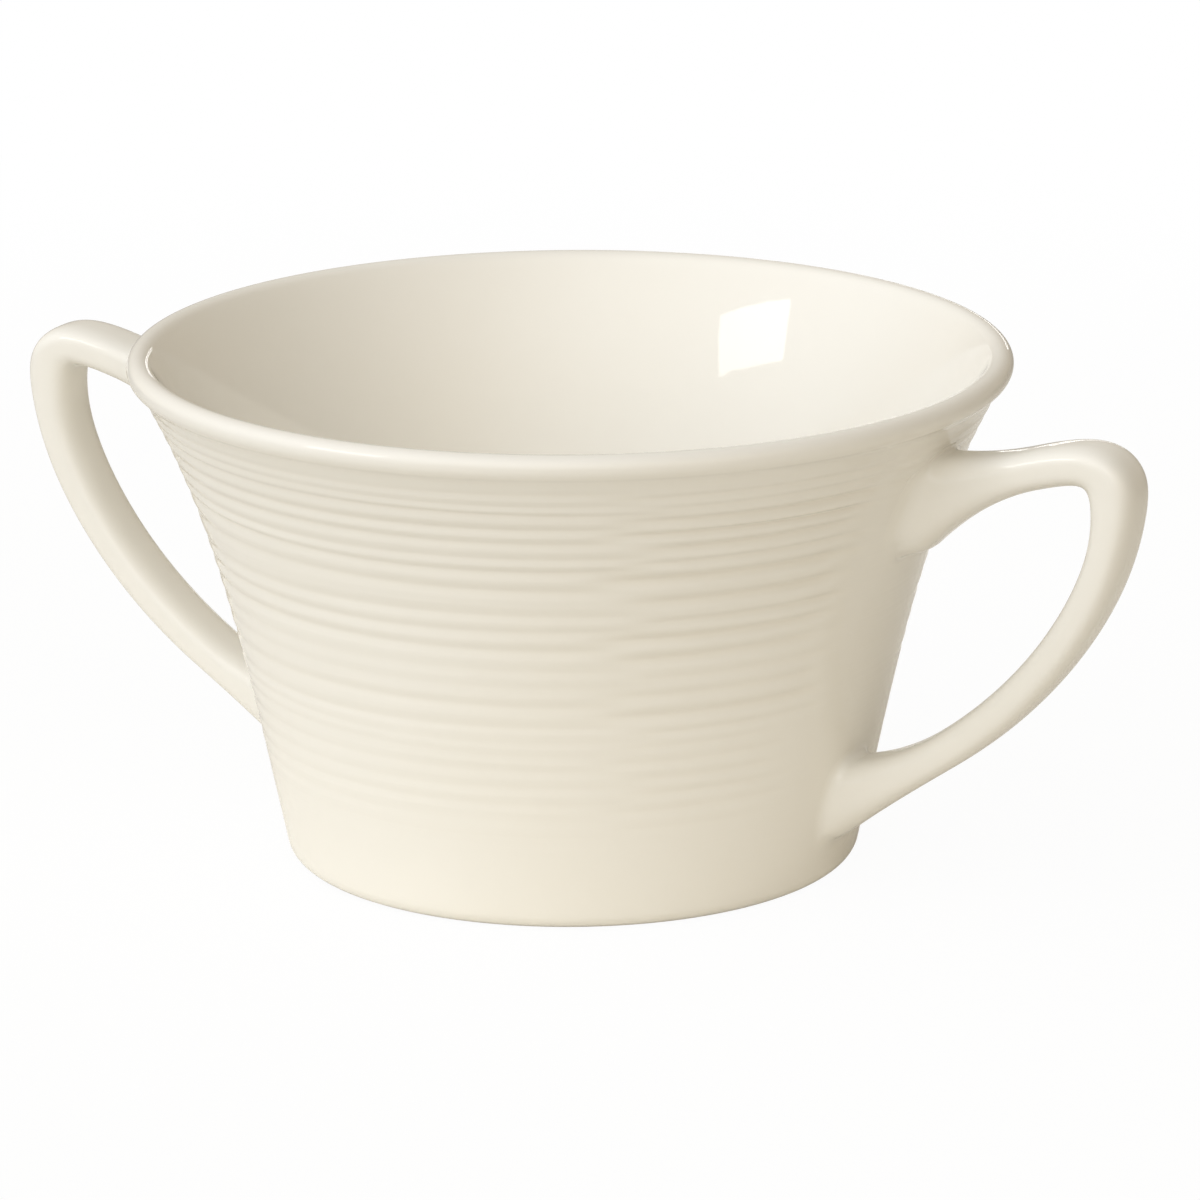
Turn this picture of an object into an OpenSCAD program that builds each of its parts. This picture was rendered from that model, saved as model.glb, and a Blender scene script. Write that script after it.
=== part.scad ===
// A two-handled soup bowl in glazed porcelain, in millimetres.
// It stands on the table at height zero, its axis is Z and its two lugs lie along X.
// The potter makes the bowl and the lugs apart and lutes them together with slip.

/* [Bowl] */
// Diameter of the mouth, over the lip
mouth_d = 116; // [108:1:126]
// Height from the table to the top of the lip
bowl_h = 68; // [62:1:76]
// Diameter that the straight part of the wall points to at the table
base_d = 75; // [68:1:80]
// Part of the wall's spread that comes from the flare under the lip
flare_share = 0.31; // [0.2:0.01:0.4]
// How late the flare sets in
flare_power = 4; // [3:0.5:6]
// Thickness of the wall low down, measured level
wall = 3.3; // [2.8:0.1:4]

/* [Lip] */
// Thickness of the rolled lip
lip_t = 3.4; // [3:0.1:4]
// How far the lip stands proud of the wall
lip_step = 0.4; // [0.2:0.1:0.8]

/* [Foot and floor] */
// Radius round the bottom edge of the wall
heel_r = 2.6; // [1.6:0.2:3.6]
// Width of the ring that the bowl rests on
foot_w = 3.2; // [2.4:0.2:4]
// Depth of the recess inside the foot ring
foot_recess = 2.2; // [1.4:0.2:3]
// Thickness of the floor
floor_t = 3.8; // [3:0.2:5]
// Radius between the floor and the wall, inside
well_r = 13; // [9:1:17]

/* [Rings in the wall] */
// Depth of the deepest groove
ring_depth = 0.28; // [0.2:0.02:0.4]
// Half of the turn that a groove takes before it fades, away from the lugs
ring_reach = 69; // [60:1:71]
// Most that a groove opens above or below its middle
ring_spread = 1; // [0.7:0.05:1.2]
// Smooth band between the lip and the first groove
ring_top_gap = 2.1; // [2:0.1:4]
// Smooth band between the table and the last groove
ring_base_gap = 13.2; // [11:0.2:16]

/* [Lugs] */
// How far a lug stands out beyond the lip
lug_reach = 23.5; // [21:0.5:27]
// How far the top of the lugs lies below the top of the lip
lug_drop = 4.6; // [4:0.2:9]
// Height at which a lug's lower end meets the wall
lug_low = 12.6; // [11:0.5:16]
// Thickness of a lug's upper arm, seen from the side
lug_t = 5.4; // [4.8:0.2:6.4]
// Thickness across the corner of a lug's shoulder
lug_shoulder_t = 6.4; // [5.6:0.2:7.4]
// Thickness of a lug's lower arm
lug_slim_t = 4.9; // [4.2:0.1:5.4]
// Width of a lug, seen from its end
lug_w = 9; // [7:0.2:10]
// How much the upper root spreads along the wall, each way
upper_flare = 3.6; // [2.6:0.2:4.2]
// How much the lower root spreads along the wall, each way
lower_flare = 2.4; // [1.4:0.2:3]
// How much a root spreads round the wall, each way
side_flare = 1.2; // [0.6:0.2:1.8]
// Distance from the wall over which a root spreads
root_run = 13; // [10:0.5:15]
// Thickness of the slip between a lug and the wall
slip_t = 0.6; // [0.4:0.1:1]

/* [Hidden] */

glaze = [0.93, 0.90, 0.82];
slip = [0.86, 0.81, 0.71];

// Curves drawn true keep this many steps in the preview
$fn = 96;
// How far a cutter runs past what it cuts
over = 2;

// Bowl: places worked out from the sizes above
mouth_r = mouth_d / 2;
base_r = base_d / 2;
lip_r = lip_t / 2;
lip_z = bowl_h - lip_r;
lip_cr = mouth_r - lip_r;
spread = mouth_r - lip_step - base_r;
lip_lean = atan(spread / lip_z * (1 + flare_share * (flare_power - 1)));
// Angles round the lip at which it leaves the outside of the wall and meets the inside
lip_from = -lip_lean - acos((1 - lip_step / lip_r) * cos(lip_lean));
lip_to = 180 - lip_lean;
lip_in_r = lip_cr + lip_r * cos(lip_to);
lip_in_z = lip_z + lip_r * sin(lip_to);
floor_z = foot_recess + floor_t;
// Lean of the straight part of the wall, and its stretch along the slope
lean = spread * (1 - flare_share) / lip_z;
lean_len = sqrt(1 + lean * lean);

// Outer radius of the wall at a height
function wall_r(z) =
    base_r + spread * ((1 - flare_share) * z / lip_z + flare_share * pow(z / lip_z, flare_power));

// Level thickness of the wall: even low down, drawn in towards the lip
lip_wall = wall_r(lip_in_z) - lip_in_r;
function wall_at(z) = wall + (lip_wall - wall) * pow(z / lip_in_z, flare_power);

// Part of the radius that comes from the flare
function flare_at(z) = wall_r(z) - base_r - lean * z;

// A stretch of wall as points, from one height to another
wall_steps = 30;
function heights(from, to) = [for (i = [0 : wall_steps]) from + (to - from) * i / wall_steps];
function outside(from, to, grow) = [for (z = heights(from, to)) [wall_r(z) + grow, z]];
function inside(from, to) = [for (z = heights(from, to)) [wall_r(z) - wall_at(z), z]];

// Arc of a circle as points, from one angle to another
arc_steps = 12;
function arc(cx, cz, r, from, to) = [
    for (i = [0 : arc_steps])
        let (a = from + (to - from) * i / arc_steps)
            [cx + r * cos(a), cz + r * sin(a)]
];

// Heel: round that touches the table and the straight wall
heel_cx = base_r + lean * heel_r - heel_r * lean_len;
heel_top = heel_r - heel_r * lean / lean_len;
foot_out = heel_cx;
foot_in = foot_out - foot_w;

// Well: round that touches the floor and the straight inside of the wall
well_cz = floor_z + well_r;
well_cx = base_r - wall + lean * well_cz - well_r * lean_len;
well_top = well_cz - well_r * lean / lean_len;

// Rings: place of each groove as a share of the way down from the first to the last,
// and its depth as a share of the deepest, uneven as if cut by hand
ring_high = lip_z - lip_r - ring_top_gap;
ring_shares = [
    [0, 0.55], [0.035, 0.5], [0.06, 0.75], [0.108, 0.9], [0.148, 1], [0.196, 0.75], [0.227, 0.9],
    [0.286, 0.75], [0.361, 0.85], [0.408, 0.8], [0.459, 0.9], [0.517, 0.55], [0.568, 0.5],
    [0.624, 0.75], [0.684, 0.7], [0.724, 0.5], [0.762, 0.45], [0.809, 0.6], [0.859, 0.6],
    [0.904, 0.6], [0.95, 0.4], [1, 0.35]
];
ring_count = len(ring_shares);
function ring_z(i) = ring_high - (ring_high - ring_base_gap) * ring_shares[i][0];
function ring_cut(i) = ring_depth * ring_shares[i][1];

// How far a groove opens towards a neighbour, stopping short of the neighbour's own opening
ring_open_share = 0.42;
function ring_open(i, next) =
    next < 0 || next >= ring_count
        ? ring_spread
        : min(ring_spread, abs(ring_z(next) - ring_z(i)) * ring_open_share);

// Section of a groove, from top to bottom: place up or down as a share of how far it opens,
// and depth as a share of its full depth, starting and ending outside the wall
groove_shares = [[1.12, -0.12], [0.5, 0.45], [0.15, 1], [-0.15, 1], [-0.5, 0.45], [-1.12, -0.12]];

// Grooves end in sets, each set a little further round than the last, and each groove
// first loses part of its depth and width
ring_sets = 3;
set_turn = 3;
shallow_turn = 6;
shallow_share = 0.45;
narrow_share = 0.8;

// Lugs: places worked out from the sizes above
lug_out = mouth_r + lug_reach - lug_t / 2;
lug_rise = bowl_h - lug_drop - lug_low;
// Share of the lug's rise at which the upper arm leaves the wall
upper_root_share = 0.79;
upper_seat = wall_r(lug_low + lug_rise * upper_root_share);
lower_seat = wall_r(lug_low);

// Centreline of a lug as two curves of four control points: the upper arm round to the shoulder,
// and the long sweep down to the lower root. A point is a share of the reach outwards from the
// wall and a share of the rise; the points below zero lie inside the wall.
upper_shares = [[-0.18, 0.78], [0.77, 0.96], [1, 1.02], [1, 0.845]];
lower_shares = [[1, 0.845], [1, 0.63], [0.68, 0.187], [-0.056, -0.014]];
function lug_point(share, seat) = [seat + (lug_out - seat) * share[0], lug_low + lug_rise * share[1]];
upper_curve = [for (share = upper_shares) lug_point(share, upper_seat)];
lower_curve = [for (share = lower_shares) lug_point(share, lower_seat)];
function curve(p, t) =
    p[0] * pow(1 - t, 3) + p[1] * 3 * t * pow(1 - t, 2) + p[2] * 3 * t * t * (1 - t) + p[3] * pow(t, 3);
function heading(p, t) =
    let (d = (p[1] - p[0]) * pow(1 - t, 2) + (p[2] - p[1]) * 2 * t * (1 - t) + (p[3] - p[2]) * t * t)
        d / norm(d);

// Rings of the lug's surface: along the upper curve, along the lower, and points round each
upper_rings = 22;
lower_rings = 20;
lug_rings = upper_rings + lower_rings;
lug_sides = 28;
function ring_centre(j) =
    j < upper_rings ? curve(upper_curve, j / upper_rings) : curve(lower_curve, (j - upper_rings) / lower_rings);
function ring_heading(j) =
    j < upper_rings ? heading(upper_curve, j / upper_rings) : heading(lower_curve, (j - upper_rings) / lower_rings);

// How near a ring is to the wall, from none at the end of the root's run to full at the wall
root_most = 1.1;
function nearness(c) = min(root_most, max(0, 1 - (c[0] - wall_r(c[1])) / root_run));
root_power = 2;

// Thickness along the lug: even on the upper arm, swelling at the shoulder, slim on the lower arm
shoulder_share = 0.48;
shoulder_width_share = 0.07;
slim_from_share = 0.46;
slim_to_share = 0.8;
function eased(t) = let (s = min(1, max(0, t))) s * s * (3 - 2 * s);
function arm_t(u) =
    lug_t
    + (lug_shoulder_t - lug_t) * exp(-pow((u - shoulder_share) / shoulder_width_share, 2))
    + (lug_slim_t - lug_t) * eased((u - slim_from_share) / (slim_to_share - slim_from_share));

// Round-cornered section: an oval squared up by a power
section_power = 2.5;
function squared(v) = sign(v) * pow(abs(v), 2 / section_power);

function ring_points(j) =
    let (
        c = ring_centre(j),
        d = ring_heading(j),
        near = pow(nearness(c), root_power),
        half_t = arm_t(j / lug_rings) / 2 + (j < upper_rings ? upper_flare : lower_flare) * near,
        half_w = lug_w / 2 + side_flare * near
    )
        [for (k = [0 : lug_sides - 1])
            let (
                a = 360 * k / lug_sides,
                up = half_t * squared(sin(a)),
                along = half_w * squared(cos(a))
            )
                [c[0] - d[1] * up, along, c[1] + d[0] * up]];

// Skin between rings, as triangles, with a flat cap on each end
function skin(rings) = concat(
    [for (j = [0 : rings - 1], k = [0 : lug_sides - 1])
        [j * lug_sides + k, (j + 1) * lug_sides + k, (j + 1) * lug_sides + (k + 1) % lug_sides]],
    [for (j = [0 : rings - 1], k = [0 : lug_sides - 1])
        [j * lug_sides + k, (j + 1) * lug_sides + (k + 1) % lug_sides, j * lug_sides + (k + 1) % lug_sides]],
    [for (k = [1 : lug_sides - 2]) [0, k, k + 1]],
    [for (k = [1 : lug_sides - 2]) [rings * lug_sides, rings * lug_sides + k + 1, rings * lug_sides + k]]
);

// Stretch of a lug, from one ring to another, running on into the wall
module lug_stretch(from, to) {
    polyhedron(
        points = [for (j = [from : to], p = ring_points(j)) p],
        faces = skin(to - from)
    );
}

// Outer form of the wall, solid to the axis, grown outwards by a film
module outer_form(grow) {
    rotate_extrude()
        polygon(concat(
            [[0, 0]],
            arc(heel_cx, heel_r, heel_r + grow, -90, -atan(lean)),
            outside(heel_top, lip_z, grow),
            [[0, lip_z]]
        ));
}

// One set of grooves, over half of a turn to each side of the middle
module groove_set(set, depth_share, width_share, half_turn) {
    rotate([0, 0, -half_turn])
        rotate_extrude(angle = 2 * half_turn)
            for (i = [set : ring_sets : ring_count - 1]) {
                z = ring_z(i);
                polygon(concat(
                    [for (share = groove_shares)
                        let (
                            open = ring_open(i, share[0] > 0 ? i - 1 : i + 1),
                            h = z + open * width_share * share[0]
                        )
                            [wall_r(h) - ring_cut(i) * depth_share * share[1], h]],
                    [[wall_r(z) + over, z]]
                ));
            }
}

// All the grooves on one side of the bowl
module grooves(turn) {
    rotate([0, 0, turn])
        for (set = [0 : ring_sets - 1]) {
            groove_set(set, 1, 1, ring_reach - set_turn * set);
            groove_set(set, shallow_share, narrow_share, ring_reach - set_turn * set + shallow_turn);
        }
}

// Section of the bowl, from the middle of the underside out, over the lip and back to the well
section = concat(
    [[0, foot_recess], [foot_in - foot_recess / 2, foot_recess], [foot_in, 0]],
    arc(heel_cx, heel_r, heel_r, -90, -atan(lean)),
    outside(heel_top, lip_z + lip_r * sin(lip_from), 0),
    arc(lip_cr, lip_z, lip_r, lip_from, lip_to),
    inside(lip_in_z, well_top),
    [for (p = arc(well_cx, well_cz, well_r, -atan(lean), -90)) [p[0] + flare_at(p[1]), p[1]]],
    [[0, floor_z]]
);

module bowl_body() {
    color(glaze)
        difference() {
            rotate_extrude()
                polygon(section);
            grooves(90);
            grooves(-90);
        }
}

// A lug ends on the slip, which lies on the wall
module right_lug() {
    color(glaze)
        difference() {
            lug_stretch(0, lug_rings);
            outer_form(slip_t);
        }
}

module left_lug() {
    mirror([1, 0, 0])
        right_lug();
}

// Film of slip under a root, between the wall and the lug
module slip_film(from, to) {
    color(slip)
        difference() {
            intersection() {
                lug_stretch(from, to);
                outer_form(slip_t);
            }
            outer_form(0);
        }
}

// Rings that a root takes in, from its end to past its seat
root_rings = 10;

module right_upper_slip() {
    slip_film(0, root_rings);
}

module right_lower_slip() {
    slip_film(lug_rings - root_rings, lug_rings);
}

module left_upper_slip() {
    mirror([1, 0, 0])
        right_upper_slip();
}

module left_lower_slip() {
    mirror([1, 0, 0])
        right_lower_slip();
}

bowl_body();
left_lug();
right_lug();
left_upper_slip();
left_lower_slip();
right_upper_slip();
right_lower_slip();
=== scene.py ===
"""A two-handled soup bowl in ivory glazed porcelain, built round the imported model.

Everything is in metres in the part's frame: the bowl's axis is Z, its foot stands on Z = 0,
and its two lugs lie along X. Angles are in radians, apart from those called degrees.
"""

import math

import bpy
import numpy as np
from mathutils import Matrix, Vector


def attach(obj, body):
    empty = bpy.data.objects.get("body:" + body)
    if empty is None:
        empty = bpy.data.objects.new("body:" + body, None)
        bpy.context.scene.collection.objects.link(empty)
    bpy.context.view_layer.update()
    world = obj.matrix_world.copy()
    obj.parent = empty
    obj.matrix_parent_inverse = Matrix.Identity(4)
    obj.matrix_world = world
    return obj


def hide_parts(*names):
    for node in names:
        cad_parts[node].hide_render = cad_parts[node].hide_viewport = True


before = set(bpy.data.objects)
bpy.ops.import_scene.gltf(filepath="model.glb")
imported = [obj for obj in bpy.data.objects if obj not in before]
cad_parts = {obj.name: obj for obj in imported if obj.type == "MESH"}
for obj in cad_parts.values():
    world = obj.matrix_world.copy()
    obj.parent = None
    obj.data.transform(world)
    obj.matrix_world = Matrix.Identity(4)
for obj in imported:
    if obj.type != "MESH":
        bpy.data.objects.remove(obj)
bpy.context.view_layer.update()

# Sizes of the bowl
MM = 0.001
MOUTH_R = 58 * MM
BOWL_H = 68 * MM
BASE_R = 37.5 * MM
WALL = 3.3 * MM
# Share of the wall's spread that comes as a flare, and the power of the height that it grows with
FLARE = 0.31
FLARE_POWER = 4
LIP_R = 1.7 * MM
LIP_STEP = 0.4 * MM
HEEL_R = 2.6 * MM
FOOT_W = 3.2 * MM
FOOT_EDGE_R = 0.5 * MM
FOOT_RECESS = 2.2 * MM
# The recess under the bowl: how steep its side is, and the rounding between the side and the ceiling
RECESS_STEEP = 2
RECESS_ROUND_R = 1.4 * MM
RECESS_ROUND_TURN = 0.9
FLOOR_T = 3.8 * MM
WELL_R = 13 * MM
# The crease under the lip, which glaze fills: the drop from the lip's middle to its lower end, how
# much of the lip's arc it covers, and how far its curve is pulled along the wall and along the lip
CREASE_DROP = 2.7 * MM
CREASE_TURN = 0.75
CREASE_WALL_PULL = 1.3 * MM
CREASE_LIP_PULL = 0.6 * MM

# Places and angles that follow from the bowl's sizes
LIP_Z = BOWL_H - LIP_R
LIP_CR = MOUTH_R - LIP_R
SPREAD = MOUTH_R - LIP_STEP - BASE_R
LEAN = SPREAD * (1 - FLARE) / LIP_Z
LEAN_LEN = math.hypot(1, LEAN)
LIP_LEAN = math.atan(SPREAD / LIP_Z * (1 + FLARE * (FLARE_POWER - 1)))
LIP_FROM = -LIP_LEAN - math.acos((1 - LIP_STEP / LIP_R) * math.cos(LIP_LEAN))
LIP_TO = math.pi - LIP_LEAN
CREASE_Z = LIP_Z - CREASE_DROP
HEEL_CR = BASE_R + LEAN * HEEL_R - HEEL_R * LEAN_LEN
HEEL_TOP = HEEL_R - HEEL_R * LEAN / LEAN_LEN
FLOOR_Z = FOOT_RECESS + FLOOR_T
WELL_Z = FLOOR_Z + WELL_R
WELL_CR = BASE_R - WALL + LEAN * WELL_Z - WELL_R * LEAN_LEN
WELL_TOP = WELL_Z - WELL_R * LEAN / LEAN_LEN

# Points round the bowl, and rows across each stretch of its section, or the radii of level rows
BOWL_SIDES = 264
UNDERSIDE_RADII = np.array([8, 16, 23, 28]) * MM
RECESS_ROWS = 5
FOOT_EDGE_ROWS = 5
# The one row on the foot's flat lies this far in from the heel's arc
FOOT_ROW_IN = 1.2 * MM
HEEL_ROWS = 12
BELOW_RINGS_ROWS = 12
ABOVE_RINGS_ROWS = 7
CREASE_ROWS = 8
LIP_ROWS = 20
INSIDE_ROWS = 26
WELL_ROWS = 18
FLOOR_RADII = np.array([20, 13, 6]) * MM

# Rings: height of each valley in mm, and how deep it lies as a share of RING_DEPTH
RINGS = [
    (62.5, 0.70), (60.9, 0.60), (59.4, 0.85), (57.15, 1.15), (55.2, 1.20), (53.0, 0.85),
    (51.2, 1.00), (48.4, 0.95), (44.7, 0.90), (42.4, 0.82), (39.9, 0.92), (37.0, 0.42),
    (34.5, 0.36), (31.8, 0.66), (28.8, 0.55), (26.85, 0.25), (25.0, 0.25), (22.65, 0.33),
    (20.2, 0.33), (17.95, 0.36), (15.7, 0.18), (13.2, 0.10),
]
RING_DEPTH = 0.28 * MM
# Half the width of a ring where it has room, of the lowest below its valley, and of the highest above
RING_HALF_W = 1.4 * MM
LOWEST_HALF_W = 1.3 * MM
HIGHEST_HALF_W = 1.0 * MM
# Rows from one valley to the next, as shares of the way: more of them near a valley or a crest
RING_ROWS = np.array([0, 0.07, 0.15, 0.24, 0.33, 0.42, 0.5, 0.58, 0.67, 0.76, 0.85, 0.93])
# Form of a valley: how it steepens from its crest down, and how round its bottom is
VALLEY_POWER = 1.7
VALLEY_ROUND = 0.25
# Degrees from a lug's axis over which the rings die away. Each ring ends some degrees sooner or later
# than that, with its own phase, and the rings below a height end some degrees sooner
RING_FADE = (15.5, 21.0)
FADE_SHIFT = 2.5
FADE_PHASE = 2.4
LOW_RINGS = 27 * MM
LOW_SHIFT = 6
# Heights over which the rings come to run on above a lug, and how much of them does
RUN_ON = (56.5 * MM, 58.5 * MM)
RUN_ON_SHARE = 0.4
# Share by which the rings swell and thin round the bowl, as the product of two waves. Each wave has
# its number of swings round the bowl, and its phase from ring to ring
SWELL = 0.18
SWELL_SINE = (2, 1.7)
SWELL_COSINE = (3, -2.9)
# Waves that the rings wander by: height, swings round the bowl, and phase from ring to ring
WANDER = [(0.10 * MM, 2, 1.3), (0.06 * MM, 5, 2.1)]
# On the stretch before each lug a second set of rings takes over, half a pitch away and deeper. It
# comes in, and goes out, over these degrees round the bowl, which shift from ring to ring
SECOND_FROM = (121, 132)
SECOND_TO = (170, 178)
SECOND_DEEPER = 2.3
SECOND_SHIFT = 3.5
SECOND_PHASE = 1.9
# Heights over which the fine lines left by throwing begin
THROWN = (6 * MM, 14 * MM)

# Sizes of the lugs
LUG_REACH = 23.1 * MM
LUG_DROP = 4.6 * MM
LUG_LOW = 12.6 * MM
LUG_W = 8.8 * MM
LUG_T = 5.25 * MM
LUG_SHOULDER_T = 6.4 * MM
LUG_SLIM_T = 4.9 * MM
# Power of the squared oval that is the lug's section, where 2 is an ellipse
LUG_SQUARE = 3.0
LUG_OUT = MOUTH_R + LUG_REACH - LUG_T / 2
LUG_RISE = BOWL_H - LUG_DROP - LUG_LOW
# Height of the upper root's middle, as a share of the lug's rise
UPPER_ROOT = 0.79
# Control points of the lug's two curves: shares of its reach from the wall, and of its rise
UPPER_SHARES = np.array([[-0.18, 0.78], [0.77, 0.96], [1, 1.02], [1, 0.845]])
LOWER_SHARES = np.array([[1, 0.845], [1, 0.63], [0.68, 0.187], [-0.056, -0.014]])
# Shares of the way along the lug: where its curves meet, where the shoulder is thickest and how far
# that spreads, and where it begins to slim and over how long
CURVES_MEET = 22 / 42
SHOULDER_AT = 0.48
SHOULDER_SPREAD = 0.07
SLIM_FROM = 0.46
SLIM_OVER = 0.34
# The roots: how much half the thickness grows at either, how much half the width, over which run
# off the wall, and how near to the wall's outside, or past it, that goes on
UPPER_FLARE = 3.6 * MM
LOWER_FLARE = 2.4 * MM
SIDE_FLARE = 1.2 * MM
ROOT_RUN = 13 * MM
ROOT_MOST = 1.1
# Fillets round each root. Two bounds on the sine of the angle round the lug part its inner side,
# which faces the finger's opening, its flanks, and its outer side. Each of the three has a reach on
# the wall, and a lift off it where the fillet begins, in mm. The steps between them are evened
UPPER_FILLET = {"bounds": (-0.5, 0.45), "reach": (0.9, 2.8, 0.6), "lift": (1.1, 2.4, 0.8), "evened": 5}
LOWER_FILLET = {"bounds": (-0.3, 0.45), "reach": (1.5, 1.3, 1.3), "lift": (1.5, 1.4, 1.4), "evened": 6}
# Pulls of the fillet's curve at its two ends, as shares of its span, and the share of the reach from
# which its last heading is taken
FILLET_START_PULL = 0.42
FILLET_FOOT_PULL = 0.5
FILLET_HEADING = 0.7
# Hidden end of the skin in the wall: how far it runs on and dips, how deep it is sunk, and its cap
SKIRT_ON = 0.5 * MM
SKIRT_DIP = 0.05 * MM
CAP_DEPTH = 0.8 * MM
CAP_SHARE = 0.5
# Points round the lug, steps of its two curves, rows of each arm and of each fillet
LUG_SIDES = 56
CURVE_STEPS = 90
ARM_ROWS = 64
FILLET_ROWS = 12
# How often the bend where the arms meet is evened, and over how many rows to either side
BEND_TIMES = 20
BEND_ROWS = 9

# Glaze and bare clay
IVORY = (0.866, 0.844, 0.784, 1)
IVORY_PALE = (0.884, 0.864, 0.812, 1)
IVORY_POOL = (0.790, 0.735, 0.615, 1)
BISCUIT = (0.62, 0.57, 0.49, 1)
GLAZE_IOR = 1.52
# Patterns in the glaze: waves to the metre, detail and roughness of each noise
MOTTLE_NOISE = (42.0, 3.0, 0.55)
CLOUD_NOISE = (14.0, 2.0, 0.5)
DIMPLE_NOISE = (95.0, 2.0, 0.5)
PEEL_NOISE = (420.0, 2.0, 0.5)
THROWN_NOISE = (1100.0, 3.0, 0.6)
SPECK_SCALE = 160.0
# Throwing lines run round the bowl, so their noise is drawn out along X and Y
THROWN_STRETCH = (0.02, 0.02, 1)
# Bounds between which each pattern comes in, and heights for the lip and the bare foot
MOTTLE_FROM_TO = (0.35, 0.7)
CLOUD_FROM_TO = (0.5, 0.75)
SPECK_FROM_TO = (0.03, 0.07)
LIP_FROM_TO = (65.5 * MM, 67.8 * MM)
BARE_FROM_TO = (0.15 * MM, 0.55 * MM)
# How much of its colour each pattern brings
MOTTLE_SHARE = 0.35
CLOUD_SHARE = 0.10
POOL_SHARE = 0.16
LIP_SHARE = 0.35
SPECK_SHARE = 0.12
# Gloss: least roughness, what the mottle adds, and what the bare foot adds
GLOSS_ROUGH = 0.02
MOTTLE_ROUGH = 0.035
BARE_ROUGH = 0.55
# Relief of the glaze: weight of each noise, and the bump's strength and distance
DIMPLE_WEIGHT = 0.6
PEEL_WEIGHT = 0.10
THROWN_WEIGHT = 0.42
BUMP_STRENGTH = 0.05
BUMP_DISTANCE = 1.2 * MM

# Floor: half its side, how far it lies below the foot, its colour near the bowl and far away, where the
# darker far colour is painted shade, a painted fall-off of light away from the bowl, the distances over
# which that changes, and how much of it the camera sees as white near the bowl
FLOOR_REACH = 3.0
FLOOR_DROP = 0.05 * MM
FLOOR_NEAR = (0.90, 0.875, 0.81, 1)
# The far colour is painted shade: a painted fall-off of light away from the bowl
FLOOR_PAINTED_SHADE_FAR = (0.38, 0.345, 0.285, 1)
FLOOR_FROM_TO = (0.08, 0.45)
FLOOR_WHITE_SHARE = 0.96
FLOOR_ROUGH = 0.9
WHITE = (1, 1, 1, 1)
# How much of the white room the gloss sees
GLOSS_SHARE = 0.15

# Camera: turn, rise and roll in degrees, distance, and the point that it aims at
CAMERA_TURN = 27.6
CAMERA_RISE = 15.55
CAMERA_ROLL = -0.4
CAMERA_AWAY = 1.0
CAMERA_AIM = Vector((0, 0, 35 * MM))
CAMERA_CLIP = 0.01
SENSOR = 36
# The photograph's side, the focal length, and where the aim lies in it, in pixels
FRAME_PX = 1200
FOCAL_PX = 7579
AIM_PX = (571.5, 590.2)

# Lamps: turn and rise in degrees, distance, width, height, power in watts, and roll in degrees
LAMPS = {
    "window_lamp": (63.6, 31.9, 1.6, 0.570, 0.272, 1.8, 2.5),
    "back_lamp_low": (-171, 2.2, 1.8, 0.50, 0.035, 0.14, 0),
    "back_lamp_high": (-171, 5.2, 1.8, 0.50, 0.045, 0.18, 0),
}
LAMP_AIM = Vector((0, 0, 50 * MM))
# The room's soft light, as broad lobes: turn and rise as for a lamp, the power of the cosine that
# shapes the lobe, and its red, green and blue strength in the middle
LOBES = [
    (44, 40, 4, (1.20, 1.24, 1.29)),
    (90, 33, 6, (1.04, 1.06, 1.10)),
    (2, 36, 6, (1.00, 0.98, 0.93)),
    (138, 8, 6, (0.70, 0.61, 0.46)),
    (-38, 14, 6, (0.79, 0.66, 0.46)),
    (-150, 12, 4, (0.38, 0.31, 0.21)),
    (175, 50, 4, (0.26, 0.25, 0.23)),
]
ROOM = (0.06, 0.050, 0.036)


# Forms that the bowl and the lugs share
def wall_r(z):
    """Outer radius of the wall at a height: the base's, and the spread as a straight lean and a
    flare that grows with a power of the height."""
    share = np.asarray(z, float) / LIP_Z
    return BASE_R + SPREAD * ((1 - FLARE) * share + FLARE * np.abs(share) ** FLARE_POWER)


def wall_slope(z):
    """How fast the wall's radius grows with height: the derivative of wall_r."""
    share = np.asarray(z, float) / LIP_Z
    return SPREAD / LIP_Z * ((1 - FLARE) + FLARE * FLARE_POWER * share ** (FLARE_POWER - 1))


def unit(vectors):
    """Vectors divided by their own lengths."""
    return vectors / np.linalg.norm(vectors, axis=-1, keepdims=True)


def eased(share):
    """Smooth step from 0 to 1: three squares less two cubes of the share."""
    share = np.clip(share, 0, 1)
    return share * share * (3 - 2 * share)


def round_angles(count):
    """Even angles round a full turn."""
    return np.arange(count) / count * 2 * math.pi


def arc(centre_r, centre_z, radius, start, end, count):
    """Points of a section on a circle's arc: cosine outwards and sine upwards of even angles."""
    angle = np.linspace(start, end, count)
    return np.stack([centre_r + radius * np.cos(angle), centre_z + radius * np.sin(angle)], -1)


def curve(control, t):
    """Cubic curve of four control points, which may be rows of points: their sum, weighted by the
    terms of the cube of t and what is left to 1."""
    t = t.reshape(-1, *[1] * np.ndim(control[0]))
    weights = (1 - t) ** 3, 3 * t * (1 - t) ** 2, 3 * t * t * (1 - t), t ** 3
    return sum(weight * point for weight, point in zip(weights, control))


def heading(control, t):
    """Unit direction of the cubic curve: the steps between its control points, weighted by the
    terms of the square of t and what is left to 1."""
    t = t[:, None]
    weights = (1 - t) ** 2, 2 * t * (1 - t), t * t
    return unit(sum(weight * step for weight, step in zip(weights, np.diff(control, axis=0))))


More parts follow.
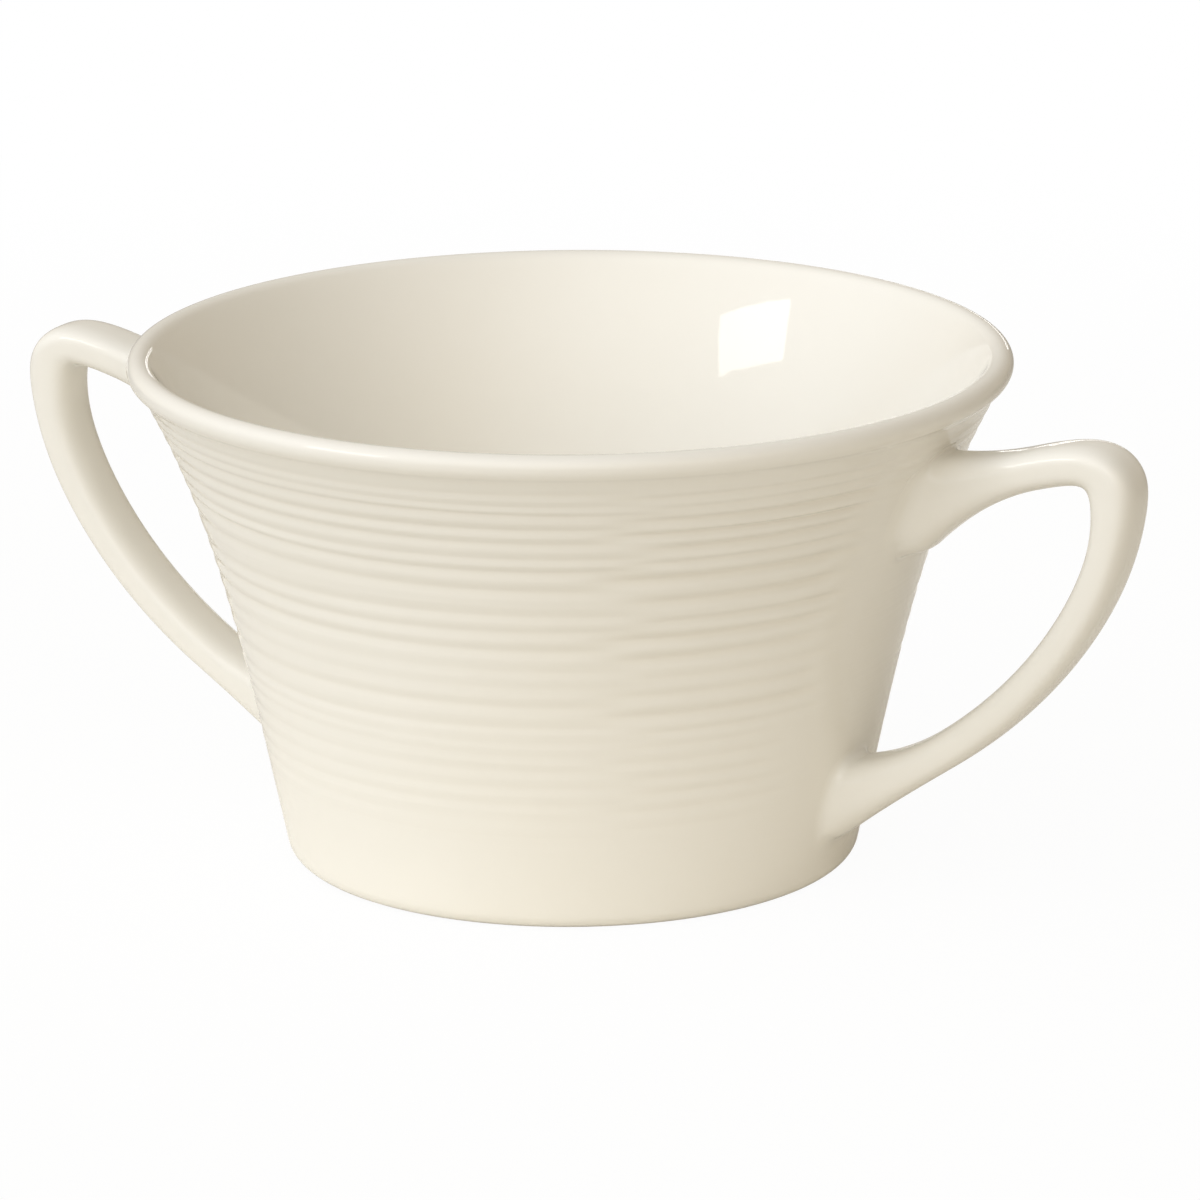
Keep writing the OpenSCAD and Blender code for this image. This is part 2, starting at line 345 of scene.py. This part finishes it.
def closed_skin(name, start, rings, end):
    """Closed mesh from rings of points carried along a form, each ring closing on itself, and one
    point at either end where the form runs out. Neighbours on the grid make four-sided faces, and
    a fan of triangles closes either end. The triple products of the faces' corners add up to about
    six times the volume. Where that is negative, the faces are turned over, to point outwards."""
    rows, cols, _ = rings.shape
    row, col = np.meshgrid(np.arange(rows - 1), np.arange(cols), indexing="ij")
    after = (col + 1) % cols
    here, there = 1 + row * cols, 1 + (row + 1) * cols
    sheet = np.stack([here + col, here + after, there + after, there + col], -1).reshape(-1, 4)
    last = 1 + (rows - 1) * cols
    first_fan = np.stack([np.zeros(cols, int), 1 + after[0], 1 + col[0]], -1)
    last_fan = np.stack([np.full(cols, rows * cols + 1), last + col[0], last + after[0]], -1)
    points = np.concatenate([start[None], rings.reshape(-1, 3), end[None]])
    a, b, c, d = (points[sheet[:, corner]] for corner in range(4))
    volume = (np.cross(a, b) * c).sum() + (np.cross(a, c) * d).sum()
    faces = [part if volume > 0 else part[:, ::-1] for part in (sheet, first_fan, last_fan)]
    mesh = bpy.data.meshes.new(name)
    mesh.from_pydata(points.tolist(), [], sum((part.tolist() for part in faces), []))
    mesh.polygons.foreach_set("use_smooth", np.ones(len(mesh.polygons), bool))
    mesh.update()
    return in_scene(name, mesh)


def in_scene(name, data):
    """New object that holds the given data, in the scene."""
    made = bpy.data.objects.new(name, data)
    bpy.context.scene.collection.objects.link(made)
    return made


# The rings round the bowl. theta is a row of angles, and ring a column of numbers from the lowest up
def ring_wander(theta, ring):
    """Slow rise and fall of the rings round the bowl: a sum of sine waves."""
    return sum(height * np.sin(swings * theta + ring * phase) for height, swings, phase in WANDER)


def ring_share(theta, height, ring):
    """How much of each ring shows. It eases in with the angle from the lugs' axis, from a start of
    its own. Near the lip a part of it runs on over the lugs, and it swells and thins with the
    product of two waves."""
    away = np.degrees(np.abs((theta + math.pi / 2) % math.pi - math.pi / 2))
    start = RING_FADE[0] + FADE_SHIFT * np.sin(ring * FADE_PHASE) + LOW_SHIFT * (height < LOW_RINGS)
    fade = eased((away - start) / (RING_FADE[1] - RING_FADE[0]))
    over = eased((height - RUN_ON[0]) / (RUN_ON[1] - RUN_ON[0]))
    fade = fade + (1 - fade) * over * RUN_ON_SHARE
    swings, phase = SWELL_SINE
    sine = np.sin(swings * theta + ring * phase)
    swings, phase = SWELL_COSINE
    cosine = np.cos(swings * theta + ring * phase)
    return fade * (1 - SWELL + SWELL * sine * cosine)


def second_set(theta, ring):
    """Share of the second set of rings, from 0 to 1: one eased step less another, in degrees over
    each half turn, shifted from ring to ring."""
    at = np.degrees(theta) % 180 + SECOND_SHIFT * np.sin(ring * SECOND_PHASE)
    comes, goes = [eased((at - low) / (high - low)) for low, high in (SECOND_FROM, SECOND_TO)]
    return comes - goes


def valley(across):
    """Depth across half a ring, from 1 in the valley to 0 on the crest: a power of the share left
    to the crest. The share follows a hyperbola, which rounds the valley's bottom."""
    risen = np.sqrt(np.clip(across, 0, 1) ** 2 + VALLEY_ROUND ** 2) - VALLEY_ROUND
    crest = math.hypot(1, VALLEY_ROUND) - VALLEY_ROUND
    return np.clip(1 - risen / crest, 0, 1) ** VALLEY_POWER


def outside_rows(theta, low, high):
    """Heights and groove depths of the wall's outside, from low to high. Rows follow the valleys as
    they wander. Between two valleys the depth is the sum of both valleys' own forms and of the
    second set's, whose valley lies half way."""
    ring = np.arange(len(RINGS))[:, None]
    height, share = np.array(RINGS[::-1]).T[..., None]
    height = height * MM
    at = height + ring_wander(theta, ring)
    depth = share * ring_share(theta, height, ring)
    second = second_set(theta, ring)
    first = depth * (1 - second)

    way = np.linspace(0, 1, BELOW_RINGS_ROWS)[:-1, None]
    below = low + (at[0] - low) * way
    below_depth = first[0] * valley((at[0] - below) / LOWEST_HALF_W)

    gap = np.diff(at, axis=0)[:, None]
    up = gap * RING_ROWS[:, None]
    down = gap * (1 - RING_ROWS[:, None])
    half = np.minimum(gap / 2, RING_HALF_W)
    mean = (depth[:-1] + depth[1:])[:, None] / 2
    halfway = SECOND_DEEPER * second[:-1, None] * mean * half / RING_HALF_W
    between = at[:-1, None] + up
    between_depth = first[:-1, None] * valley(up / half) + first[1:, None] * valley(down / half)
    between_depth += halfway * valley(np.abs(up - down) / 2 / half)

    way = np.linspace(0, 1, ABOVE_RINGS_ROWS)[:, None]
    above = at[-1] + (high - at[-1]) * way
    above_depth = first[-1] * valley((above - at[-1]) / HIGHEST_HALF_W)

    heights = np.concatenate([below, between.reshape(-1, len(theta)), above])
    depths = np.concatenate([below_depth, between_depth.reshape(-1, len(theta)), above_depth])
    return heights, depths


# The bowl, in stretches of its section: radius and height of each row
def level_rows(radii, z):
    """Rows on a level disc."""
    return np.stack([radii, np.full(len(radii), z)], -1)


def foot_and_heel():
    """Section from the middle of the underside out to the heel's top: the recess's ceiling, the
    rounding into its side, the foot ring's inner edge, its flat, and the heel's arc, which ends
    where it is tangent to the wall's lean."""
    foot_in = HEEL_CR - FOOT_W
    round_r = foot_in - FOOT_RECESS / RECESS_STEEP - RECESS_ROUND_R
    round_z = FOOT_RECESS - RECESS_ROUND_R
    quarter = math.pi / 2
    ramp = math.atan(RECESS_STEEP)
    edge_r = foot_in + FOOT_EDGE_R * math.tan(ramp / 2)
    return np.concatenate([
        level_rows(UNDERSIDE_RADII, FOOT_RECESS),
        arc(round_r, round_z, RECESS_ROUND_R, quarter, quarter - RECESS_ROUND_TURN, RECESS_ROWS),
        arc(edge_r, FOOT_EDGE_R, FOOT_EDGE_R, 3 * quarter - ramp, 3 * quarter, FOOT_EDGE_ROWS),
        level_rows([HEEL_CR - FOOT_ROW_IN], 0),
        arc(HEEL_CR, HEEL_R, HEEL_R, -quarter, -math.atan(LEAN), HEEL_ROWS)[:-1],
    ])


def crease(lip):
    """Section of the glaze that fills the crease under the lip: a cubic curve that leaves along the
    wall and arrives along the lip's arc."""
    start = np.array([wall_r(CREASE_Z), CREASE_Z])
    rise = unit(np.array([wall_slope(CREASE_Z), 1]))
    turn = unit(lip[1] - lip[0])
    control = np.array([start, start + rise * CREASE_WALL_PULL, lip[0] - turn * CREASE_LIP_PULL, lip[0]])
    return curve(control, np.linspace(0, 1, CREASE_ROWS))[1:-1]


def inside(lip_end):
    """Section from the lip's end down the inside to the middle of the floor. The wall's thickness
    goes over to the lip's with the flare's power of the height. The well is an arc, tangent to
    the lean and to the floor, moved out by as much as the wall has flared."""
    lip_r, lip_z = lip_end
    z = np.linspace(lip_z, WELL_TOP, INSIDE_ROWS)[1:-1]
    thick = WALL + (wall_r(lip_z) - lip_r - WALL) * (z / lip_z) ** FLARE_POWER
    wall = np.stack([wall_r(z) - thick, z], -1)
    well = arc(WELL_CR, WELL_Z, WELL_R, -math.atan(LEAN), -math.pi / 2, WELL_ROWS)
    well[:, 0] += wall_r(well[:, 1]) - BASE_R - LEAN * well[:, 1]
    return np.concatenate([wall, well, level_rows(FLOOR_RADII, FLOOR_Z)])


def bowl_piece():
    """Closed skin of the bowl, its section carried round the axis. The ringed wall is cut square to
    its slope. Two attributes tell the glaze how deep each point lies in a ring, and where the
    throwing lines are."""
    theta = round_angles(BOWL_SIDES)
    under = foot_and_heel()
    lip = arc(LIP_CR, LIP_Z, LIP_R, LIP_FROM + CREASE_TURN, LIP_TO, LIP_ROWS)
    over = np.concatenate([crease(lip), lip, inside(lip[-1])])
    heights, depths = outside_rows(theta, HEEL_TOP, CREASE_Z)
    slope = wall_slope(heights)
    tilt = np.sqrt(1 + slope ** 2)
    cut = RING_DEPTH * depths
    ringed = np.stack([wall_r(heights) - cut / tilt, heights + cut * slope / tilt], -1)
    below, above = [np.repeat(rows[:, None], BOWL_SIDES, 1) for rows in (under, over)]
    radius, z = np.moveaxis(np.concatenate([below, ringed, above]), -1, 0)
    points = np.stack([radius * np.cos(theta), radius * np.sin(theta), z], -1)
    piece = closed_skin("glazed_bowl", np.array([0, 0, FOOT_RECESS]), points, np.array([0, 0, FLOOR_Z]))
    thrown = eased((heights - THROWN[0]) / (THROWN[1] - THROWN[0]))
    for name, wall_values in (("pool", depths), ("thrown", thrown)):
        values = np.zeros(radius.shape)
        values[len(under):len(under) + len(heights)] = wall_values
        layer = piece.data.attributes.new(name, "FLOAT", "POINT")
        layer.data.foreach_set("value", np.concatenate([[0], values.ravel(), [0]]).astype(np.float32))
    return piece


# The lugs
def squared(value):
    """Sine or cosine drawn out to a squared oval's, by a power below 1 that keeps its sign."""
    return np.sign(value) * np.abs(value) ** (2 / LUG_SQUARE)


def lug_control(seat, shares):
    """Control points of one of the lug's curves, in the plane of X and Z: shares of the way from a
    seat on the wall to the lug's outermost point, and of the lug's rise."""
    return np.stack([seat + (LUG_OUT - seat) * shares[:, 0], LUG_LOW + LUG_RISE * shares[:, 1]], -1)


def lug_rings():
    """Rings of the lug's skin from the upper root round to the lower: a squared oval carried along
    two cubic curves. It swells in a bell curve at the shoulder, eases to slim on the lower arm,
    and flares at the roots with the square of its nearness to the wall."""
    upper = lug_control(wall_r(LUG_LOW + LUG_RISE * UPPER_ROOT), UPPER_SHARES)
    lower = lug_control(wall_r(LUG_LOW), LOWER_SHARES)
    lower_t = np.linspace(0, 1, CURVE_STEPS)
    upper_t = lower_t[:-1]
    middle = np.concatenate([curve(upper, upper_t), curve(lower, lower_t)])
    ahead = np.concatenate([heading(upper, upper_t), heading(lower, lower_t)])
    way = np.concatenate([upper_t * CURVES_MEET, CURVES_MEET + lower_t * (1 - CURVES_MEET)])
    shoulder = np.exp(-((way - SHOULDER_AT) / SHOULDER_SPREAD) ** 2)
    slim = eased((way - SLIM_FROM) / SLIM_OVER)
    thick = LUG_T + (LUG_SHOULDER_T - LUG_T) * shoulder + (LUG_SLIM_T - LUG_T) * slim
    near = np.clip(1 - (middle[:, 0] - wall_r(middle[:, 1])) / ROOT_RUN, 0, ROOT_MOST) ** 2
    flare = np.where(way < CURVES_MEET, UPPER_FLARE, LOWER_FLARE)
    half_t, half_w = thick / 2 + flare * near, LUG_W / 2 + SIDE_FLARE * near
    angle = round_angles(LUG_SIDES)
    up, across = half_t[:, None] * squared(np.sin(angle)), half_w[:, None] * squared(np.cos(angle))
    return np.stack([middle[:, :1] - ahead[:, 1:] * up, across, middle[:, 1:] + ahead[:, :1] * up], -1)


def off_wall(points):
    """Distance of points from the outside of the wall: how far out they lie at their own height,
    divided by the length of the wall's slope."""
    radius = np.hypot(points[..., 0], points[..., 1])
    return (radius - wall_r(points[..., 2])) / np.sqrt(1 + wall_slope(points[..., 2]) ** 2)


def wall_normal(points):
    """Outward normal of the wall under points: out from the axis, and down by the wall's slope."""
    radius = np.hypot(points[..., 0], points[..., 1])
    out = points[..., :2] / radius[..., None]
    return unit(np.concatenate([out, -wall_slope(points[..., 2:])], -1))


def on_wall(points, lift):
    """Points carried level to the wall, and held off it by a lift, with X and Y scaled alike."""
    scale = (wall_r(points[..., 2]) + lift) / np.hypot(points[..., 0], points[..., 1])
    return np.stack([points[..., 0] * scale, points[..., 1] * scale, points[..., 2]], -1)


def crossing(lines, gap, level):
    """First crossing of each line with its level off the wall: the row after it, and the point,
    with the gap taken to change evenly from row to row."""
    line = np.arange(lines.shape[1])
    row = np.argmax(gap < level, axis=0)
    before, after = gap[row - 1, line], gap[row, line]
    share = ((before - level) / (before - after))[:, None]
    return row, lines[row - 1, line] * (1 - share) + lines[row, line] * share


def root_skirt(lines, reach, lift):
    """Fillet from a root to the wall. Each line along the lug is followed to its lift off the wall.
    From there a cubic curve turns it on to the wall, so that it arrives flat, a reach further out
    than the line itself would have met it. Out lies along the wall, square to the root's edge."""
    line = np.arange(lines.shape[1])
    gap = off_wall(lines)
    row, start = crossing(lines, gap, lift)
    _, hit = crossing(lines, gap, 0)
    into = unit(lines[row, line] - lines[row - 1, line])
    edge = np.roll(hit, -1, 0) - np.roll(hit, 1, 0)
    out = unit(np.cross(edge, wall_normal(hit)))
    out *= np.sign((out * (hit - hit.mean(0))).sum(-1, keepdims=True))
    reach = reach[:, None]
    foot = on_wall(hit + out * reach, 0)
    arrive = unit(foot - on_wall(hit + out * reach * FILLET_HEADING, 0))
    span = np.linalg.norm(foot - start, axis=1, keepdims=True)
    leave, land = into * span * FILLET_START_PULL, arrive * span * FILLET_FOOT_PULL
    skirt = curve((start, start + leave, foot - land, foot), np.linspace(0, 1, FILLET_ROWS)[1:])
    hidden = on_wall(hit + out * (reach + SKIRT_ON), -SKIRT_DIP)
    return row, start, np.concatenate([skirt, hidden[None]])


def even_lines(lines, row, start):
    """Each line along the lug, at even steps of its own length from the middle of the lug to its
    fillet's start, with each step placed by its share between two rows."""
    line = np.arange(lines.shape[1])
    steps = np.linalg.norm(np.diff(lines, axis=0), axis=-1)
    run = np.concatenate([np.zeros((1, len(line))), np.cumsum(steps, 0)])
    end = run[row - 1, line] + np.linalg.norm(start - lines[row - 1, line], axis=-1)
    target = np.linspace(0, 1, ARM_ROWS)[:, None] * end
    at = np.clip((run[None] <= target[:, None]).sum(1) - 1, 0, len(run) - 2)
    share = ((target - run[at, line]) / (run[at + 1, line] - run[at, line]))[..., None]
    return lines[at, line] * (1 - share) + lines[at + 1, line] * share


def eased_bend(points, middle):
    """Rounds a bend: each line is evened along its length, again and again, by a quarter of either
    neighbour. That counts fully in the middle row and fades in a bell curve away from it."""
    share = np.exp(-((np.arange(len(points)) - middle) / BEND_ROWS) ** 2)[1:-1, None, None]
    for _ in range(BEND_TIMES):
        even = (points[:-2] + 2 * points[1:-1] + points[2:]) / 4
        points = np.concatenate([points[:1], points[1:-1] + (even - points[1:-1]) * share, points[-1:]])
    return points


def fillet_size(fillet, which):
    """A fillet's reach or lift at each point round the root: the size of the inner side, flank or
    outer side, evened round the root by a quarter of either neighbour, again and again."""
    part = np.digitize(np.sin(round_angles(LUG_SIDES)), fillet["bounds"])
    size = np.array(fillet[which])[part] * MM
    for _ in range(fillet["evened"]):
        size = (np.roll(size, 1) + 2 * size + np.roll(size, -1)) / 4
    return size


def lug_piece(name, side):
    """A lug with its slip and glaze, as one skin: the swept arm from its middle to either root, a
    fillet at each root, and a cap hidden in the wall. side is 1 for the right and -1 for the
    left, which mirrors X."""
    rings = lug_rings()
    half = len(rings) // 2
    stretches, ends = [], []
    for lines, fillet in ((rings[:half][::-1], UPPER_FILLET), (rings[half:], LOWER_FILLET)):
        row, start, skirt = root_skirt(lines, fillet_size(fillet, "reach"), fillet_size(fillet, "lift"))
        sunk = skirt[-1] - wall_normal(skirt[-1]) * CAP_DEPTH
        end = sunk.mean(0)
        cap = end + (sunk - end) * CAP_SHARE
        stretches.append(np.concatenate([even_lines(lines, row, start), skirt, sunk[None], cap[None]]))
        ends.append(end)
    upper, lower = stretches
    points = eased_bend(np.concatenate([upper[::-1], lower[1:]]), len(upper) - 1)
    mirror = np.array([side, 1, 1])
    return closed_skin(name, ends[0] * mirror, points * mirror, ends[1] * mirror)


# Materials
class Maths:
    """A socket that takes part in expressions: each operator adds its Math node."""

    def __init__(self, tree, socket):
        self.tree = tree
        self.socket = socket

    def maths(self, operation, *values):
        """One Math node on sockets or numbers."""
        return self.tree.node("ShaderNodeMath", {"operation": operation}, values).out("Value")

    def __add__(self, other):
        return self.maths("ADD", self, other)

    __radd__ = __add__

    def __mul__(self, other):
        return self.maths("MULTIPLY", self, other)

    __rmul__ = __mul__

    def __sub__(self, other):
        return self.maths("SUBTRACT", self, other)

    def __rsub__(self, other):
        return self.maths("SUBTRACT", other, self)

    def power(self, other):
        """This value to a power."""
        return self.maths("POWER", self, other)

    def larger(self, other):
        """The larger of this value and another."""
        return self.maths("MAXIMUM", self, other)

    def step(self, low, high):
        """Smooth step of this value, from 0 at low to 1 at high."""
        settings = {"interpolation_type": "SMOOTHSTEP", "clamp": True}
        values = {"Value": self, "From Min": low, "From Max": high}
        return self.tree.node("ShaderNodeMapRange", settings, values).out("Result")


class Node:
    """A shader node whose outputs are read as Maths."""

    def __init__(self, tree, node):
        self.tree = tree
        self.node = node

    def out(self, name=0):
        """One output, by its name or its place."""
        return Maths(self.tree, self.node.outputs[name])


class Tree:
    """A node tree and its ways to add nodes."""

    def __init__(self, tree):
        self.tree = tree

    def node(self, kind, settings, inputs):
        """Any node: its type, its settings, and the values or links of its inputs by name or order."""
        node = self.tree.nodes.new(kind)
        for key, value in settings.items():
            setattr(node, key, value)
        pairs = inputs.items() if isinstance(inputs, dict) else enumerate(inputs)
        for key, value in pairs:
            self.link(node.inputs[key], value)
        return Node(self, node)

    def link(self, socket, value):
        """Feeds a socket with another socket, or sets its own value."""
        if isinstance(value, Maths):
            self.tree.links.new(value.socket, socket)
        else:
            socket.default_value = value

    def place(self):
        """Object coordinates."""
        return self.node("ShaderNodeTexCoord", {}, ()).out("Object")

    def noise(self, vector, scale, detail, rough):
        """Noise of so many waves to the metre."""
        values = {"Vector": vector, "Scale": scale, "Detail": detail, "Roughness": rough}
        return self.node("ShaderNodeTexNoise", {}, values).out()

    def mix(self, share, first, second):
        """Colour between two, at a share of the way. The Mix node's colours are its inputs 6 and 7,
        and its output 2."""
        return self.node("ShaderNodeMix", {"data_type": "RGBA"}, {0: share, 6: first, 7: second}).out(2)

    def vector(self, operation, *values):
        """One Vector Math node on sockets or vectors."""
        return self.node("ShaderNodeVectorMath", {"operation": operation}, values)

    def attribute(self, name):
        """A number kept on the mesh's points."""
        return self.node("ShaderNodeAttribute", {"attribute_name": name}, ()).out("Fac")

    def white_share(self):
        """How white the room looks along a ray: fully to the camera and through glass, by a small
        share to gloss, and not at all to the light that falls on things."""
        path = self.node("ShaderNodeLightPath", {}, ())
        seen = path.out("Is Camera Ray").larger(path.out("Is Transmission Ray"))
        return seen.larger(path.out("Is Glossy Ray") * GLOSS_SHARE)


class Finish(Tree):
    """A material made of nodes, on its Principled shader."""

    SOCKETS = {"colour": "Base Color", "rough": "Roughness", "ior": "IOR", "normal": "Normal",
               "specular": "Specular IOR Level"}

    def __init__(self, name):
        self.made = bpy.data.materials.new(name)
        self.made.use_nodes = True
        super().__init__(self.made.node_tree)
        self.shader = Node(self, self.tree.nodes["Principled BSDF"])

    def set(self, **values):
        """Feeds the shader's sockets, by their short names."""
        for key, value in values.items():
            self.link(self.shader.node.inputs[self.SOCKETS[key]], value)


def glaze_finish(name, on_bowl):
    """Glossy ivory glaze. It is a little deeper in colour where it pools in the rings and a little
    paler where it thins over the lip, with a faint mottle, clouds, a few pale specks, and an uneven
    gloss. Its relief is broad dimples and a fine peel, with throwing lines on the bowl. The ring
    that the bowl stands on is bare biscuit."""
    glaze = Finish(name)
    place = glaze.place()
    height = glaze.node("ShaderNodeSeparateXYZ", {}, (place,)).out("Z")
    mottle = glaze.noise(place, *MOTTLE_NOISE)
    cloud = glaze.noise(place, *CLOUD_NOISE)
    colour = glaze.mix(mottle.step(*MOTTLE_FROM_TO) * MOTTLE_SHARE, IVORY, IVORY_PALE)
    colour = glaze.mix(cloud.step(*CLOUD_FROM_TO) * CLOUD_SHARE, colour, IVORY_POOL)
    if on_bowl:
        colour = glaze.mix(glaze.attribute("pool") * POOL_SHARE, colour, IVORY_POOL)
        colour = glaze.mix(height.step(*LIP_FROM_TO) * LIP_SHARE, colour, IVORY_PALE)
    cells = {"Vector": place, "Scale": SPECK_SCALE}
    from_speck = glaze.node("ShaderNodeTexVoronoi", {"feature": "F1"}, cells).out("Distance")
    speck = 1 - from_speck.step(*SPECK_FROM_TO)
    colour = glaze.mix(speck * SPECK_SHARE, colour, IVORY_PALE)
    rough = GLOSS_ROUGH + mottle * MOTTLE_ROUGH
    relief = glaze.noise(place, *DIMPLE_NOISE) * DIMPLE_WEIGHT
    relief = relief + glaze.noise(place, *PEEL_NOISE) * PEEL_WEIGHT
    if on_bowl:
        drawn_out = {"Vector": place, "Scale": THROWN_STRETCH}
        along = glaze.node("ShaderNodeMapping", {}, drawn_out).out()
        relief = relief + glaze.noise(along, *THROWN_NOISE) * glaze.attribute("thrown") * THROWN_WEIGHT
        bare = 1 - height.step(*BARE_FROM_TO)
        colour = glaze.mix(bare, colour, BISCUIT)
        rough = rough + bare * BARE_ROUGH
    bump = {"Strength": BUMP_STRENGTH, "Distance": BUMP_DISTANCE, "Height": relief}
    normal = glaze.node("ShaderNodeBump", {}, bump).out("Normal")
    glaze.set(colour=colour, rough=rough, normal=normal, ior=GLAZE_IOR)
    return glaze.made


def floor_finish(name):
    """Matt floor whose colour darkens with the distance from the bowl, as painted shade: a painted
    fall-off of light away from the bowl, which the bowl's gloss and the light bounced from the floor
    see. The camera sees it nearly white. Near the bowl a little of its own shade shows, for the
    shadow, and far away none, so that no horizon shows."""
    matt = Finish(name)
    away = matt.vector("LENGTH", matt.place()).out("Value").step(*FLOOR_FROM_TO)
    # Painted shade: the floor's colour darkens away from the bowl, a painted fall-off of light
    matt.set(colour=matt.mix(away, FLOOR_NEAR, FLOOR_PAINTED_SHADE_FAR), rough=FLOOR_ROUGH, specular=0.0)
    glow = matt.node("ShaderNodeEmission", {}, {"Color": WHITE, "Strength": 1.0}).out("Emission")
    share = matt.white_share() * (FLOOR_WHITE_SHARE + away * (1 - FLOOR_WHITE_SHARE))
    mixed = matt.node("ShaderNodeMixShader", {}, (share, matt.shader.out(), glow)).out("Shader")
    matt.link(matt.tree.nodes["Material Output"].inputs["Surface"], mixed)
    return matt.made


# The pieces
bowl = bowl_piece()
bowl.data.materials.append(glaze_finish("ivory_glaze_bowl", True))
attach(bowl, "root")
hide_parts("bowl_body")

lug_glaze = glaze_finish("ivory_glaze_lug", False)
for side, word in ((1, "right"), (-1, "left")):
    lug = lug_piece(f"glazed_{word}_lug", side)
    lug.data.materials.append(lug_glaze)
    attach(lug, "root")
    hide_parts(f"{word}_lug", f"{word}_upper_slip", f"{word}_lower_slip")


# Stage, camera and lamps
def plain_floor():
    """Level square sheet, a hair below the foot."""
    mesh = bpy.data.meshes.new("floor")
    sides = [(-1, -1), (1, -1), (1, 1), (-1, 1)]
    corners = [(x * FLOOR_REACH, y * FLOOR_REACH, -FLOOR_DROP) for x, y in sides]
    mesh.from_pydata(corners, [], [(0, 1, 2, 3)])
    mesh.materials.append(floor_finish("floor_white"))
    return in_scene("floor", mesh)


def bearing(turn, rise):
    """Direction at a turn from the camera's own bearing, positive to the camera's left, and a rise
    above the horizon, both in degrees."""
    level, up = math.radians(CAMERA_TURN - turn), math.radians(rise)
    return Vector((math.sin(level) * math.cos(up), -math.cos(level) * math.cos(up), math.sin(up)))


def photo_camera():
    """The photograph's camera, which looks back along its bearing at the aim, rolled about that
    line. The lens is to the sensor as the focal length in pixels is to the frame, and the shifts
    bring the aim to its pixel."""
    data = bpy.data.cameras.new("camera")
    data.sensor_width = SENSOR
    data.sensor_fit = "HORIZONTAL"
    data.lens = FOCAL_PX / FRAME_PX * SENSOR
    data.shift_x = (FRAME_PX / 2 - AIM_PX[0]) / FRAME_PX
    data.shift_y = (AIM_PX[1] - FRAME_PX / 2) / FRAME_PX
    data.clip_start = CAMERA_CLIP
    away = bearing(0, CAMERA_RISE)
    level = Vector((0, 0, 1)).cross(away).normalized()
    roll = math.radians(CAMERA_ROLL)
    right = level * math.cos(roll) + away.cross(level) * math.sin(roll)
    turned = Matrix((right, away.cross(right), away)).transposed().to_4x4()
    camera = in_scene("camera", data)
    camera.matrix_world = Matrix.Translation(CAMERA_AIM + away * CAMERA_AWAY) @ turned
    return camera


def softbox(name, turn, rise, distance, width, height, power, roll):
    """Rectangular lamp on a bearing, at a distance from its aim in the bowl, which it faces. It is
    rolled about its own line."""
    direction = bearing(turn, rise)
    data = bpy.data.lights.new(name, "AREA")
    data.shape = "RECTANGLE"
    data.size, data.size_y = width, height
    data.energy = power
    facing = direction.to_track_quat("Z", "Y").to_matrix().to_4x4()
    rolled = Matrix.Rotation(math.radians(roll), 4, "Z")
    lamp = in_scene(name, data)
    lamp.matrix_world = Matrix.Translation(LAMP_AIM + direction * distance) @ facing @ rolled


def room_light():
    """The room's light: an even level and the sum of its lobes, each a power of the cosine of the
    angle from its middle. The camera and glass see the room white, and gloss sees it paler."""
    world = bpy.data.worlds.new("studio")
    world.use_nodes = True
    sky = Tree(world.node_tree)
    way = sky.node("ShaderNodeTexCoord", {}, ()).out("Generated")
    light = ROOM
    for turn, rise, power, strength in LOBES:
        near = sky.vector("DOT_PRODUCT", way, bearing(turn, rise)).out("Value")
        near = near.larger(0.0).power(float(power))
        scaled = {"Vector": strength, "Scale": near}
        lobe = sky.node("ShaderNodeVectorMath", {"operation": "SCALE"}, scaled).out()
        light = sky.vector("ADD", light, lobe).out()
    sky.link(sky.tree.nodes["Background"].inputs["Color"], sky.mix(sky.white_share(), light, WHITE))
    return world


floor = plain_floor()

bpy.context.scene.camera = photo_camera()
for name, values in LAMPS.items():
    softbox(name, *values)
bpy.context.scene.world = room_light()
bpy.context.scene.view_settings.view_transform = "Standard"
